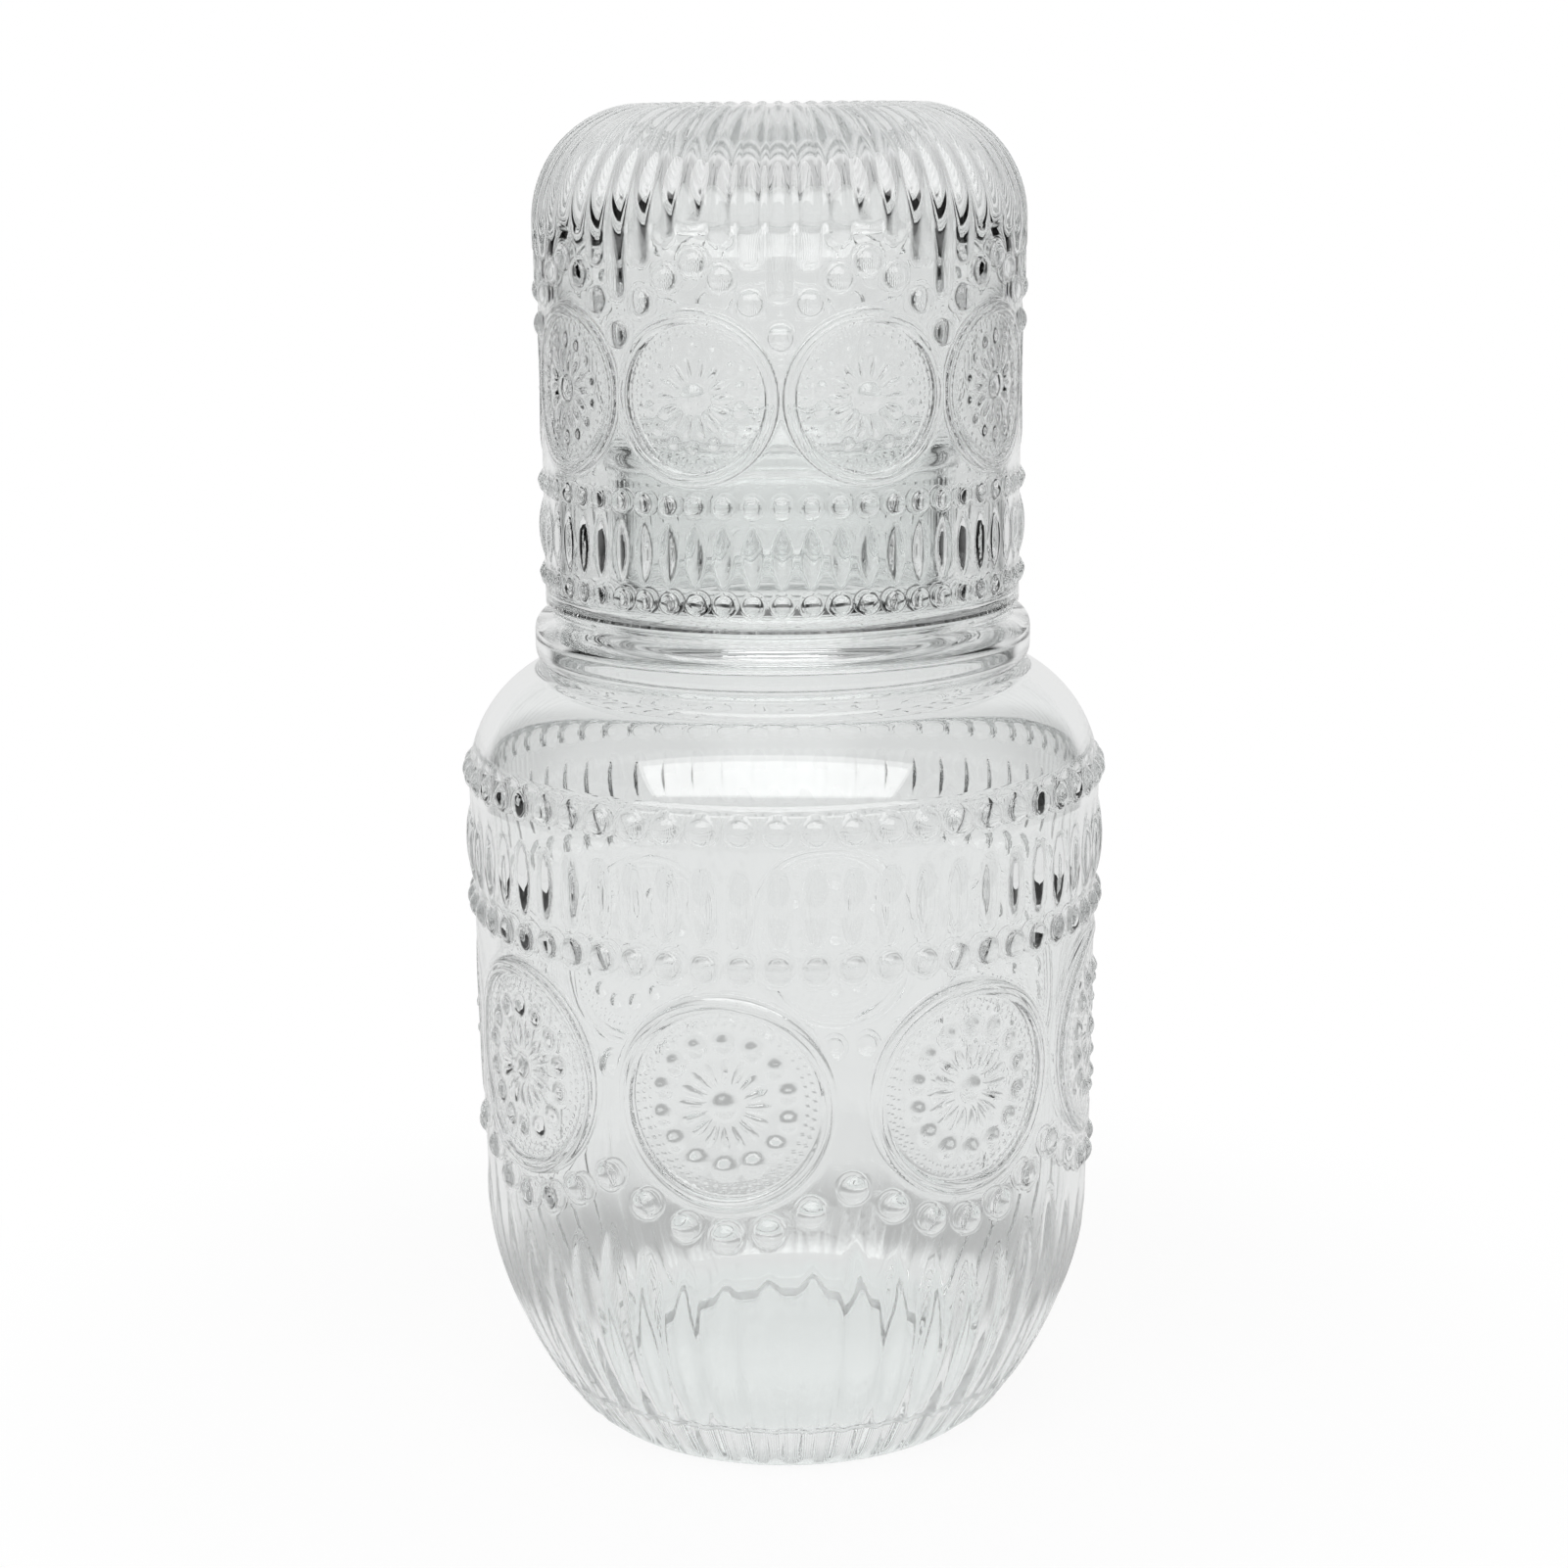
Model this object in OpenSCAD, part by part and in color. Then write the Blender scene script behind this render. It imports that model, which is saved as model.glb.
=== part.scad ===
// Bedside carafe with its tumbler, in pressed clear glass. The tumbler is a lid when it is turned over on
// the carafe's collar, where its rim rests round the neck. Bands of beads, pointed ovals and round
// medallions stand proud of both walls, and reeded flutes close each pattern. Each band of the wall has one
// flat side for each of its beads, which differs from the round wall by less than a tenth of a millimetre.
// Origin: the centre of the foot, on the table. +Z is up. Angle 0 faces the viewer, along -Y.

/* [Carafe body] */
// Outer radius of the foot, where the wall leaves the table
foot_r = 34.4; // [30:0.1:40]
// Radius of the wall above the rounded base
belly_r = 51.6; // [48:0.1:56]
// Height at which the rounded base ends
belly_z = 42; // [36:0.5:44]
// Radius of the wall where the shoulder begins
shoulder_r = 52.9; // [49:0.1:57]
// Height at which the shoulder begins
shoulder_z = 110.5; // [106:0.5:113]
// Bend radius of the shoulder
shoulder_bend_r = 21; // [18:0.5:24]
// Thickness of the carafe's glass
carafe_wall_t = 3.2; // [2.4:0.1:4]
// Thickness of the carafe's floor at its middle
carafe_floor_t = 9; // [6:0.5:12]
// Rise of the hollow under the foot
foot_hollow_h = 1.4; // [0.8:0.1:2.5]

/* [Carafe neck] */
// Radius of the collar that the tumbler rests on
collar_r = 41.2; // [39:0.1:44]
// Height of the collar's seat above the table
collar_top_z = 139; // [136:0.5:142]
// Height of the collar band
collar_h = 9.2; // [7:0.1:11]
// Outer radius of the neck
neck_r = 28.8; // [26:0.1:31]
// Outer radius of the lip round the mouth
lip_r = 30.3; // [28:0.1:32]
// Height of the mouth above the table
mouth_z = 169; // [162:0.5:176]

/* [Tumbler] */
// Radius of the tumbler's wall
tumbler_r = 39.3; // [37:0.1:42]
// Height of the tumbler
tumbler_h = 81.1; // [76:0.1:90]
// Bend radius of the corner round the tumbler's base
tumbler_corner_r = 18; // [15:0.5:20]
// Thickness of the tumbler's glass
tumbler_wall_t = 2.6; // [2:0.1:3.5]
// Thickness of the tumbler's base
tumbler_base_t = 9; // [6:0.5:12]
// Gap between the rim and the collar's seat
seat_gap = 0.3; // [0.1:0.05:0.6]

/* [Carafe pattern] */
// Medallions round the carafe
carafe_medallions = 8; // [6:1:9]
// Turn of the first carafe medallion from the front
carafe_turn = -10.8; // [-45:0.1:45]
// Height of the medallions' centres
carafe_medallion_z = 68.3; // [66:0.1:70]
// Outer radius of a carafe medallion
carafe_medallion_r = 18; // [15:0.1:18.5]
// Beads in each bead row of the carafe, for one medallion
carafe_row_beads = 7; // [5:1:7]
// Garland beads under one medallion
carafe_garland_beads = 6; // [4:2:6]
// Diameter of a bead on the carafe
carafe_bead_d = 4.6; // [3.5:0.1:5]
// Height of the lower bead row
carafe_row_low_z = 90.6; // [90:0.1:92]
// Height of the upper bead row
carafe_row_high_z = 112.4; // [110:0.1:113]
// Width of an oval on the carafe
carafe_oval_w = 3.3; // [2.4:0.1:4]
// Height of the garland's lowest beads, under the medallions
carafe_garland_z = 46.4; // [45:0.1:48]
// Rise of the garland between two medallions
carafe_garland_rise = 7.9; // [6:0.1:9]

/* [Tumbler pattern] */
// Medallions round the tumbler
tumbler_medallions = 9; // [7:1:10]
// Turn of the first tumbler medallion from the front
tumbler_turn = 20; // [-40:0.1:40]
// Height of the medallions' centres above the rim
tumbler_medallion_z = 37.8; // [37:0.1:39]
// Outer radius of a tumbler medallion
tumbler_medallion_r = 13.3; // [11:0.1:13.4]
// Columns of beads, ovals and flutes for one medallion
tumbler_columns = 6; // [4:2:6]
// Height of the lower bead row above the rim
tumbler_row_low_z = 5.9; // [5:0.1:7]
// Height of the upper bead row above the rim
tumbler_row_high_z = 21.2; // [20:0.1:22]
// Diameter of a bead in the tumbler's rows
tumbler_bead_d = 3.2; // [2.4:0.1:3.6]
// Width of an oval on the tumbler
tumbler_oval_w = 2.8; // [2:0.1:3.2]
// Diameter of a bead in the tumbler's garland
garland_bead_d = 4.2; // [3.6:0.1:4.5]
// Height above the rim of the garland's highest bead, over a medallion
tumbler_garland_z = 58.3; // [57:0.1:60]
// Fall of the garland between two medallions
tumbler_garland_fall = 11.3; // [9:0.1:12]

/* [Relief] */
// How far beads stand out
bead_h = 1.15; // [0.8:0.05:1.4]
// How far ovals and flutes stand out
rib_h = 0.8; // [0.5:0.05:1.1]
// Height of a medallion's rim
rim_h = 0.45; // [0.3:0.05:0.8]
// Width of a medallion's rim
rim_w = 2.4; // [1.2:0.1:3]

/* [Hidden] */
fine = 192;

// Places on the carafe's wall
body_h = shoulder_z - belly_z;
collar_base_z = collar_top_z - collar_h;
shoulder_c_r = shoulder_r - shoulder_bend_r;
collar_bend_r = 0.35 * collar_h;
neck_fillet_r = 0.9 * carafe_wall_t;
lip_bend_r = lip_r - neck_r + 0.4 * carafe_wall_t;
mouth_r = neck_r - carafe_wall_t;
foot_ring_w = 1.6 * carafe_wall_t;
step_d = 0.08 * carafe_wall_t;
band_low_z = belly_z + 0.5 * carafe_wall_t;
band_mid_z = carafe_row_low_z - 0.78 * carafe_bead_d;
band_high_z = carafe_row_high_z + 0.56 * carafe_bead_d;

// Places on the tumbler, from its rim
rim_z = collar_top_z + seat_gap;
corner_c_r = tumbler_r - tumbler_corner_r;
corner_c_z = tumbler_h - tumbler_corner_r;
cap_z = tumbler_garland_z + 0.5 * garland_bead_d;
rim_bend_r = tumbler_wall_t / 2;

// Columns of the pattern
carafe_rows = carafe_medallions * carafe_row_beads;
carafe_flutes = carafe_medallions * carafe_garland_beads;
tumbler_ribs = tumbler_medallions * tumbler_columns;

// Shape of the rounded base: how far each handle of its curve reaches, for its height
foot_handle_share = 0.167;
belly_handle_share = 0.43;

// Shape of the flutes: where the base's rings lie along its curve, and how long a flute takes to widen
base_shares = [0, 0.12, 0.28, 0.46, 0.64, 0.82, 1];
flute_taper = 0.36 * belly_z;
flute_gap = 1.4 * carafe_bead_d;

// Shape of the tumbler's corner: the turn of each ring, and how much of a rib's height it keeps
corner_turns = [0, 22, 42, 60, 76, 90];
corner_height_shares = [1, 1, 0.95, 0.8, 0.5, 0];

// Points of an arc from angle a to angle b, both counted from +X
function arc(c, r, a, b, n) = [for (i = [0:n]) let (t = a + (b - a) * i / n) c + r * [cos(t), sin(t)]];

// A point of a curve that leaves p for q and reaches s from r
function bend(p, q, r, s, t) = let (u = 1 - t)
    pow(u, 3) * p + 3 * t * pow(u, 2) * q + 3 * pow(t, 2) * u * r + pow(t, 3) * s;

// A point of the rounded base, drawn inwards from its outer curve by d
function base_point(d, t) = bend(
    [foot_r - 0.5 * d, d],
    [foot_r - 0.5 * d + foot_handle_share * belly_z, d + foot_handle_share * belly_z],
    [belly_r - d, belly_z * (1 - belly_handle_share)],
    [belly_r - d, belly_z], t);

// Radius of the wall at a height, and of the bands, whose corners stand a little further out
function wall_at(z) = belly_r + (shoulder_r - belly_r) * (z - belly_z) / body_h;
function low_band_at(z) = wall_at(z) + step_d;
function high_band_at(z) = min(
    wall_at(z) + 2 * step_d,
    shoulder_r + step_d - step_d * (z - shoulder_z) / (band_high_z - shoulder_z));

// A level ring of points: n corners at radius r, with the middle of a side at a turn
function ring(n, r, z, turn) = [for (i = [0:n - 1])
    let (t = turn + (i + 0.5) * 360 / n)
        [r * sin(t), -r * cos(t), z]];

// The same ring as a flat outline
function flat_ring(n, r, turn) = [for (p = ring(n, r, 0, turn)) [p[0], p[1]]];

// Smooth step from 0 to 1
function ease(t) = let (s = min(max(t, 0), 1)) s * s * (3 - 2 * s);

// Share of the garland's rise or fall, at a share of the way from its middle bead to its end bead
function garland_share(share) = pow(abs(share), 1.5);

// Joins rings of points, one above the other, by flat faces
module loft(rings) {
    n = len(rings[0]);
    top = (len(rings) - 1) * n;
    polyhedron(
        points = [for (r = rings) each r],
        faces = concat(
            [[for (i = [0:n - 1]) i]],
            [for (k = [0:n:top - n], i = [0:n - 1]) let (j = (i + 1) % n) [k + i, k + n + i, k + n + j]],
            [for (k = [0:n:top - n], i = [0:n - 1]) let (j = (i + 1) % n) [k + i, k + n + j, k + j]],
            [[for (i = [n - 1:-1:0]) top + i]]
        ));
}

// Stands its children on a wall of radius r: their +Z points out of the wall and their +Y up it
module on_wall(r, turn, z) {
    rotate([0, 0, turn - 90])
        translate([r, 0, z])
            rotate([90, 0, 90])
                children();
}

// A round bead with six sides, that rises in two steps
module bead(w, h) {
    sides = 6;
    bead_shares = [[1.06, -0.35], [0.74, 0.7]];
    polyhedron(
        points = concat(
            [for (s = bead_shares, i = [0:sides - 1]) let (r = s[0] * w / 2, t = i * 360 / sides)
                [r * cos(t), r * sin(t), s[1] * h]],
            [[0, 0, h]]),
        faces = concat(
            [[for (i = [0:sides - 1]) i]],
            [for (i = [0:sides - 1]) let (j = (i + 1) % sides) [i, i + sides, j + sides, j]],
            [for (i = [0:sides - 1]) let (j = (i + 1) % sides) [i + sides, 2 * sides, j + sides]]
        ));
}

// A small round bead with six sides and a flat top
module stud(w, h) {
    foot_share = 0.35;
    translate([0, 0, -foot_share * h])
        cylinder(h = (1 + foot_share) * h, d1 = 1.15 * w, d2 = 0.5 * w, $fn = 6);
}

// A pointed oval, upright on the wall, that rises to a ridge
module oval(w, l, h) {
    deep = -0.35 * h;
    side = 0.25 * l;
    polyhedron(
        points = [[0, -l / 2, deep], [w / 2, -side, deep], [w / 2, side, deep], [0, l / 2, deep],
            [-w / 2, side, deep], [-w / 2, -side, deep], [0, -side, h], [0, side, h]],
        faces = [[0, 1, 2, 3, 4, 5], [0, 6, 1], [1, 6, 7, 2], [2, 7, 3], [3, 7, 4], [4, 7, 6, 5], [5, 6, 0]]);
}

// The plain outline of a medallion's rim, cut from a slightly larger wall by the children
module medallion_rims(wall_r, count, turn, z, outer_r) {
    sides = 24;
    reach = wall_r * (1 - cos(asin(outer_r / wall_r))) + rim_w;
    for (m = [0:count - 1])
        on_wall(wall_r, turn + m * 360 / count, z)
            translate([0, 0, -reach])
                linear_extrude(height = reach + rim_w)
                    difference() {
                        polygon(flat_ring(sides, outer_r, 0));
                        polygon(flat_ring(sides, outer_r - rim_w, 0));
                    }
}

// A ring of the fluted base: each flute has four points, on its crest, its flanks and in the groove
function base_ring(r, z) = [for (i = [0:4 * carafe_flutes - 1])
    let (
        k = round(i / 4),
        offset = 2 * (i / 4 - k),
        share = (2 * (k % carafe_garland_beads) - carafe_garland_beads) / carafe_garland_beads,
        rise = carafe_garland_rise * garland_share(1 - abs(share)),
        tip_z = min(band_low_z, carafe_garland_z + rise - flute_gap),
        width = max(sin(90 * min(max(tip_z - z, 0) / flute_taper, 1)), 0.01),
        crest = rib_h * ease((tip_z - z) / flute_taper) * ease(z / carafe_wall_t),
        h = crest * max(1 - pow(offset / width, 2), 0),
        t = carafe_turn + i * 90 / carafe_flutes
    ) [(r + h) * sin(t), -(r + h) * cos(t), z]];

// The rounded base with its pointed flutes
module carafe_base() {
    loft(concat(
        [for (s = base_shares) let (p = base_point(0, s)) base_ring(p[0], p[1])],
        [base_ring(wall_at(band_low_z) - step_d / 2, band_low_z + step_d)]));
}

// The walls that carry the medallions and the bead rows
module carafe_bands() {
    low_turn = carafe_turn;
    high_turn = carafe_turn + 180 / carafe_medallions;
    loft([for (z = [band_low_z, band_mid_z + 2 * step_d]) ring(carafe_flutes, low_band_at(z), z, low_turn)]);
    loft([for (z = [band_mid_z, shoulder_z, band_high_z]) ring(carafe_rows, high_band_at(z), z, high_turn)]);
}

// Solid of the shoulder, collar, neck and lip
module carafe_top() {
    start_r = shoulder_r - 3 * step_d;
    start = asin(sqrt(1 - pow((start_r - shoulder_c_r) / shoulder_bend_r, 2)));
    shoulder_end = acos((collar_r - carafe_wall_t / 4 - shoulder_c_r) / shoulder_bend_r);
    rotate_extrude($fn = fine)
        polygon(concat(
            [[0, shoulder_z + step_d], [start_r, shoulder_z + step_d]],
            arc([shoulder_c_r, shoulder_z], shoulder_bend_r, start, shoulder_end, 5),
            arc([collar_r - collar_bend_r, collar_base_z + collar_bend_r], collar_bend_r, -60, 0, 2),
            arc([collar_r - collar_bend_r, collar_top_z - collar_bend_r], collar_bend_r, 0, 90, 3),
            arc([neck_r + neck_fillet_r, collar_top_z + neck_fillet_r], neck_fillet_r, 270, 180, 2),
            arc([lip_r - lip_bend_r, mouth_z - lip_bend_r], lip_bend_r, -50, 90, 4),
            [[0, mouth_z]]
        ));
}

// The space inside the carafe, open at the mouth
module carafe_inside() {
    inner_bend_r = shoulder_bend_r - carafe_wall_t;
    inner_end = acos((mouth_r - shoulder_c_r) / inner_bend_r);
    rotate_extrude($fn = fine)
        polygon(concat(
            [[0, carafe_floor_t], [foot_r - 1.2 * carafe_floor_t, carafe_floor_t]],
            [for (t = [0.3, 0.48, 0.66, 0.84, 1]) base_point(carafe_wall_t, t)],
            arc([shoulder_c_r, shoulder_z], inner_bend_r, 0, inner_end, 5),
            arc([mouth_r + lip_bend_r / 2, mouth_z - lip_bend_r / 2], lip_bend_r / 2, 180, 90, 2),
            [[mouth_r + lip_bend_r / 2, mouth_z + lip_bend_r], [0, mouth_z + lip_bend_r]]
        ));
}

// The hollow under the foot, cut along the slope of its edge
module foot_hollow() {
    inner_r = foot_r - 2 * foot_ring_w;
    rotate_extrude($fn = fine)
        polygon([[0, foot_hollow_h], [inner_r, foot_hollow_h], [inner_r + 2 * foot_ring_w, -foot_hollow_h],
            [0, -foot_hollow_h]]);
}

// Bead rows, ovals, garland and medallions of the carafe
module carafe_pattern() {
    flat_low = cos(180 / carafe_flutes);
    flat_high = cos(180 / carafe_rows);
    oval_z = (carafe_row_low_z + carafe_row_high_z) / 2;
    oval_l = carafe_row_high_z - carafe_row_low_z - 1.85 * carafe_bead_d;
    half = carafe_garland_beads / 2;
    medallion_wall = low_band_at(carafe_medallion_z) * flat_low;
    for (i = [0:carafe_rows - 1])
        let (turn = carafe_turn + (i + carafe_row_beads / 2) * 360 / carafe_rows) {
            for (z = [carafe_row_low_z, carafe_row_high_z])
                on_wall(high_band_at(z) * flat_high, turn, z) bead(carafe_bead_d, bead_h);
            on_wall(high_band_at(oval_z) * flat_high, turn, oval_z) oval(carafe_oval_w, oval_l, rib_h);
        }
    for (i = [0:carafe_flutes - 1])
        let (
            share = (i % carafe_garland_beads - half) / half,
            z = carafe_garland_z + carafe_garland_rise * garland_share(share)
        )
            on_wall(low_band_at(z) * flat_low, carafe_turn + (i - half) * 360 / carafe_flutes, z)
                bead(carafe_bead_d, bead_h);
    for (m = [0:carafe_medallions - 1])
        on_wall(medallion_wall, carafe_turn + m * 360 / carafe_medallions, carafe_medallion_z)
            bead(carafe_bead_d, 0.8 * bead_h);
    intersection() {
        loft([for (z = [carafe_garland_z, band_mid_z + step_d])
            ring(carafe_flutes, low_band_at(z) + rim_h, z, carafe_turn)]);
        medallion_rims(
            wall_at(carafe_medallion_z), carafe_medallions, carafe_turn, carafe_medallion_z,
            carafe_medallion_r);
    }
}

module carafe() {
    color([0.86, 0.92, 0.91, 0.4])
        difference() {
            union() {
                carafe_base();
                carafe_bands();
                carafe_top();
                carafe_pattern();
            }
            carafe_inside();
            foot_hollow();
        }
}

// A ring of the tumbler's corner: each rib has a crest between two points in its grooves
function corner_ring(r, z, h, lean) = [for (i = [0:3 * tumbler_ribs - 1])
    let (t = i * 120 / tumbler_ribs, out = i % 3 == 0 ? h : 0)
        [(r + out * cos(lean)) * sin(t), -(r + out * cos(lean)) * cos(t), z + out * sin(lean)]];

// The rounded corner with its ribs, that rise out of the wall above the garland, and the flat top
module tumbler_corner() {
    r = tumbler_corner_r + step_d;
    last = len(corner_turns) - 1;
    loft(concat(
        [corner_ring(tumbler_r - 2 * step_d, cap_z, 0, 0)],
        [corner_ring(corner_c_r + r, cap_z + rib_h, rib_h, 0)],
        [for (k = [0:last])
            let (
                t = corner_turns[k],
                s = k == last ? tumbler_corner_r : r,
                h = rib_h * corner_height_shares[k]
            )
                corner_ring(corner_c_r + s * cos(t), corner_c_z + s * sin(t), h, t)]));
}

// The wall with one flat side for each column of its pattern, and the rounded rim
module tumbler_wall() {
    corner_r = (tumbler_r + step_d / 4) / cos(180 / tumbler_ribs);
    translate([0, 0, rim_bend_r])
        linear_extrude(height = cap_z + rib_h + step_d - rim_bend_r)
            polygon(flat_ring(tumbler_ribs, corner_r, 0));
    rotate_extrude($fn = fine)
        polygon(concat(
            [[0, 0]],
            arc([tumbler_r - rim_bend_r, rim_bend_r], rim_bend_r, -86, 0, 4),
            [[tumbler_r, rim_bend_r + step_d], [0, rim_bend_r + step_d]]));
}

// The space inside the tumbler, open at the rim
module tumbler_inside() {
    inner_corner_r = tumbler_corner_r - tumbler_wall_t;
    inner_top_z = tumbler_h - tumbler_base_t;
    inner_r = tumbler_r - tumbler_wall_t;
    rotate_extrude($fn = fine)
        polygon(concat(
            [[0, -rim_bend_r], [inner_r + rim_bend_r - step_d / 2, -rim_bend_r]],
            arc([inner_r + rim_bend_r, rim_bend_r], rim_bend_r, 266, 180, 4),
            arc([corner_c_r, inner_top_z - inner_corner_r], inner_corner_r, 0, 90, 6),
            [[0, inner_top_z]]));
}

// Bead rows, ovals, garland and medallions of the tumbler, from its rim
module tumbler_pattern() {
    wall = tumbler_r + step_d / 4;
    step = 360 / tumbler_ribs;
    half = tumbler_columns / 2;
    oval_z = (tumbler_row_low_z + tumbler_row_high_z) / 2;
    oval_l = tumbler_row_high_z - tumbler_row_low_z - 1.8 * tumbler_bead_d;
    for (i = [0:tumbler_ribs - 1])
        let (
            share = (i % tumbler_columns) / half - 1,
            garland = tumbler_garland_z - tumbler_garland_fall * garland_share(share)
        ) {
            for (z = [tumbler_row_low_z, tumbler_row_high_z])
                on_wall(wall, i * step, z) stud(tumbler_bead_d, 0.8 * bead_h);
            on_wall(wall, i * step, oval_z) oval(tumbler_oval_w, oval_l, rib_h);
            on_wall(wall, i * step, garland) bead(garland_bead_d, bead_h);
        }
    for (m = [0:tumbler_medallions - 1])
        on_wall(wall, tumbler_turn + m * 360 / tumbler_medallions, tumbler_medallion_z)
            bead(garland_bead_d, 0.6 * bead_h);
    intersection() {
        translate([0, 0, tumbler_row_high_z])
            linear_extrude(height = cap_z - tumbler_row_high_z - step_d)
                polygon(flat_ring(tumbler_ribs, (wall + rim_h) / cos(step / 2), 0));
        medallion_rims(tumbler_r, tumbler_medallions, tumbler_turn, tumbler_medallion_z, tumbler_medallion_r);
    }
}

module tumbler() {
    color([0.9, 0.93, 0.92, 0.4])
        translate([0, 0, rim_z])
            difference() {
                union() {
                    tumbler_wall();
                    tumbler_corner();
                    tumbler_pattern();
                }
                tumbler_inside();
            }
}

carafe();
tumbler();
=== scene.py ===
"""Looks of a bedside carafe that is closed by its own upturned tumbler, both in pressed clear glass.

Each vessel is one closed shell of glass. Its outline is a half section turned about the upright axis, and the pressed
pattern is a height that the outer wall is pushed out by. Sizes are in millimetres and become metres in the mesh.
Angles round the axis are in degrees from the front, towards the right hand side.
"""

import logging
import math
from dataclasses import dataclass
from enum import Enum

import bpy
import numpy as np
from mathutils import Matrix, Vector

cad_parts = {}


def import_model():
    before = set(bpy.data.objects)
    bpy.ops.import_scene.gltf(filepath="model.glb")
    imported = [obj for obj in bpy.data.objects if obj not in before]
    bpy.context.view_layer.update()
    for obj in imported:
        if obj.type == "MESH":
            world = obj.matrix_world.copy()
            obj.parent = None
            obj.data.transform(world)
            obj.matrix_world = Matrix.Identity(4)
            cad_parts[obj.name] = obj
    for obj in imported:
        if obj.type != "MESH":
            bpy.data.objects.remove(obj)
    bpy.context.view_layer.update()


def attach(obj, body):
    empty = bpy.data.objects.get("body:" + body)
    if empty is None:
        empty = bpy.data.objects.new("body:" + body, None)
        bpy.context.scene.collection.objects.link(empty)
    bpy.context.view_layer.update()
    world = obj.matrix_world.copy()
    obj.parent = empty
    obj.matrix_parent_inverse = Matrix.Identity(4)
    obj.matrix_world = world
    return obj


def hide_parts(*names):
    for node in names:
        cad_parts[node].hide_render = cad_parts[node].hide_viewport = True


log = logging.getLogger("carafe")

Array = np.ndarray
MM = 0.001
FULL_TURN = 360.0

# Columns of a patterned ring for each column of a plain one.
COARSEN = 4
# Longest side of an outline's plain stretches, and the radius of the last ring before the point that closes a shell.
PLAIN_STEP = 4.0
POLE_R = 2.0
# How far an outline's fine stretch reaches past the form that needs it.
MARGIN = 0.2
# Less than any length here, to keep a division from failing.
TINY = 1e-6

WHITE = (1.0, 1.0, 1.0, 1.0)
# A Mix node's sockets for colours, by number, because its sockets for numbers have the same names.
MIX_A, MIX_B, MIX_RESULT = 6, 7, 2


class Piece(Enum):
    """The CAD nodes that this scene dresses, which are also the names of their bodies."""

    CARAFE = "carafe"
    TUMBLER = "tumbler"


def cap(distance: Array, radius: Array | float, height: Array | float) -> Array:
    """Height of a ball's cap: the ball shows a disc of the given radius and stands out by height at its middle.

    The ball's radius is (radius^2 + height^2) / (2 height), and the cap is what of it is above the wall.

    Args:
        distance: Distance from the cap's middle.
        radius: Radius of the disc that shows, which may be 0.
        height: Height at the middle.

    Returns:
        The height above the wall, 0 outside the disc.
    """
    tall = np.maximum(height, TINY)
    ball = (np.square(radius) + np.square(tall)) / (2 * tall)
    return np.maximum(np.sqrt(np.maximum(np.square(ball) - np.square(distance), 0)) - (ball - tall), 0)


def ease(value: Array) -> Array:
    """Smooth step from 0 to 1: 3 t^2 - 2 t^3 with t held between 0 and 1."""
    t = np.clip(value, 0, 1)
    return t * t * (3 - 2 * t)


def nearest(angle: Array, count: int, turn: float = 0.0) -> tuple[Array, Array]:
    """Finds the nearest of count evenly spaced columns.

    Args:
        angle: Angles round the axis.
        count: Columns in a full turn.
        turn: Angle of column 0.

    Returns:
        The signed angle from that column, and the column's number.
    """
    pitch = FULL_TURN / count
    column = np.round((angle - turn) / pitch)
    return angle - turn - column * pitch, column


class Outline:
    """Half section of a vessel, drawn from one point of the axis to another, with the glass on its left."""

    def __init__(self, radius: float, height: float) -> None:
        """Starts the outline at a point."""
        self.points = [np.array([[radius, height]])]
        self.marks: dict[str, int] = {}

    def count(self) -> int:
        """Number of points so far."""
        return sum(len(part) for part in self.points)

    def mark(self, name: str) -> None:
        """Names the last point drawn."""
        self.marks[name] = self.count() - 1

    def add(self, points: Array) -> None:
        """Adds points, apart from the first, which is where the outline is."""
        self.points.append(points[1:])

    def line(self, radius: float, height: float, step: float) -> None:
        """Draws a straight line to a point, in equal parts no longer than step."""
        start, end = self.points[-1][-1], np.array([radius, height])
        parts = max(1, math.ceil(float(np.linalg.norm(end - start)) / step - TINY))
        self.add(start + np.linspace(0, 1, parts + 1)[:, None] * (end - start))

    def arc(self, centre: tuple[float, float], radius: float, start: float, end: float, step: float) -> None:
        """Draws an arc round a centre between two angles, counted from the level line that points outwards."""
        parts = max(2, math.ceil(abs(math.radians(end - start)) * radius / step))
        turn = np.radians(np.linspace(start, end, parts + 1))
        ring = np.stack([np.cos(turn), np.sin(turn)], axis=1) * radius + np.array(centre)
        self.line(float(ring[0, 0]), float(ring[0, 1]), step)
        self.add(ring)

    def curve(self, handles: Array, start: float, end: float, step: float) -> None:
        """Draws part of a cubic curve with four handles, from one share of it to another.

        The point at share t is the sum of the handles times the weights (1-t)^3, 3t(1-t)^2, 3t^2(1-t) and t^3.
        """
        length = float(np.linalg.norm(np.diff(handles, axis=0), axis=1).sum()) * abs(end - start)
        share = np.linspace(start, end, max(2, math.ceil(length / step)) + 1)[:, None]
        left = 1 - share
        weights = np.hstack([left**3, 3 * share * left**2, 3 * share**2 * left, share**3])
        self.add(weights @ handles)

    def rows(self) -> tuple[Array, Array]:
        """Gives the outline's points and, at each, the unit normal that points out of the glass."""
        points = np.concatenate(self.points)
        run = np.gradient(points, axis=0)
        normal = np.stack([run[:, 1], -run[:, 0]], axis=1)
        return points, normal / np.maximum(np.linalg.norm(normal, axis=1, keepdims=True), TINY)


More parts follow.
